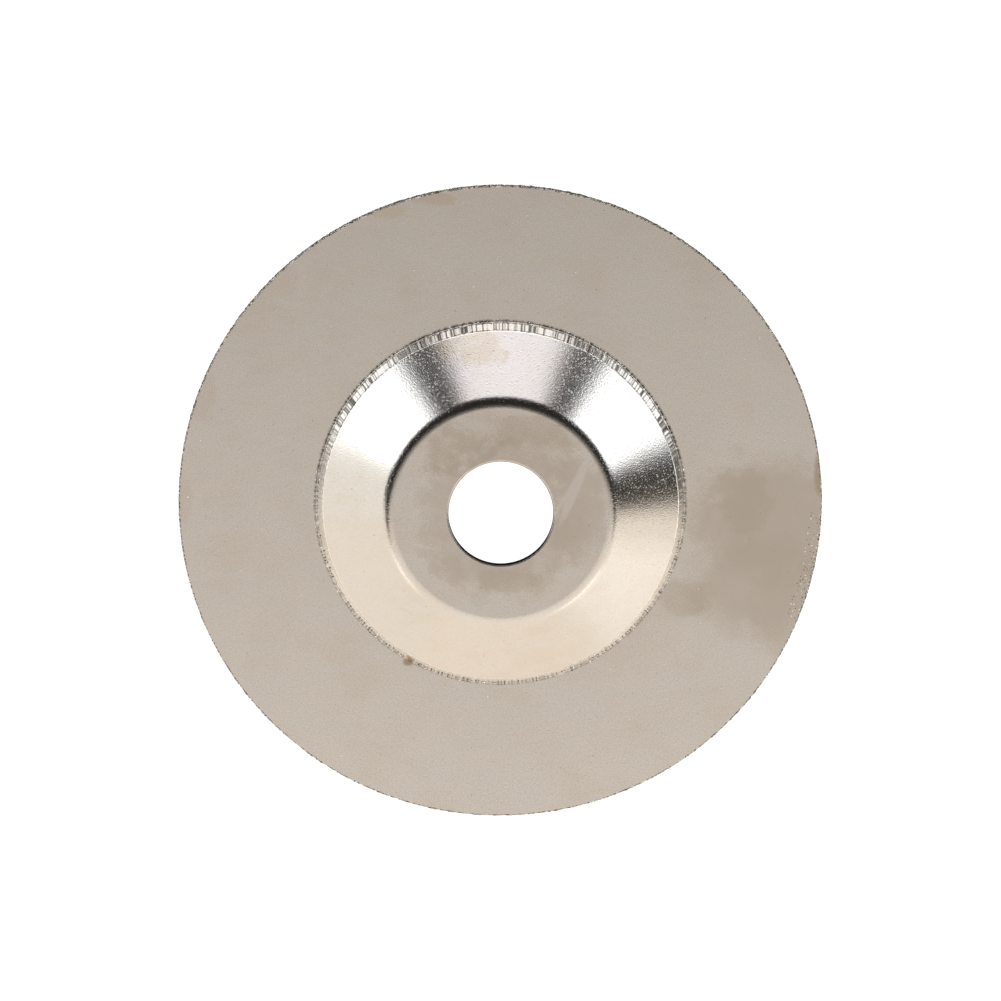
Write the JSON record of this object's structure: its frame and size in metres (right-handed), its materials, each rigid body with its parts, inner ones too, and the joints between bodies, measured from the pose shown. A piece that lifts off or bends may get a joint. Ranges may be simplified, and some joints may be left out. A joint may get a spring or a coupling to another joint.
{
  "type": "diamond grinding wheel",
  "caption": "Flat ring-faced diamond grinding disc with a raised pressed hub and a plain centre bore, nickel-plated steel.",
  "frame": {"origin": "centre of the working plane, on the spin axis, at the tips of the face grains; also the bottom centre of the bounding box", "axes": "+Z along the spin axis, from the working face towards the grinder; +X and +Y in the plane of the disc"},
  "size_m": [0.1, 0.1, 0.0094],
  "materials": {
    "pressed_steel": "cold-rolled sheet steel, as pressed",
    "satin_nickel": "warm satin nickel plate with faint stains",
    "bond_nickel": "matte nickel deposit between the grains",
    "diamond_grit": "small sharp synthetic diamond grains, pale yellow-green"
  },
  "bodies": {
    "root": {"steel_blank": "pressed_steel", "nickel_plating": "satin_nickel", "bond_layer": "bond_nickel", "face_grit": "diamond_grit", "edge_grit": "diamond_grit"}
  },
  "joints": []
}
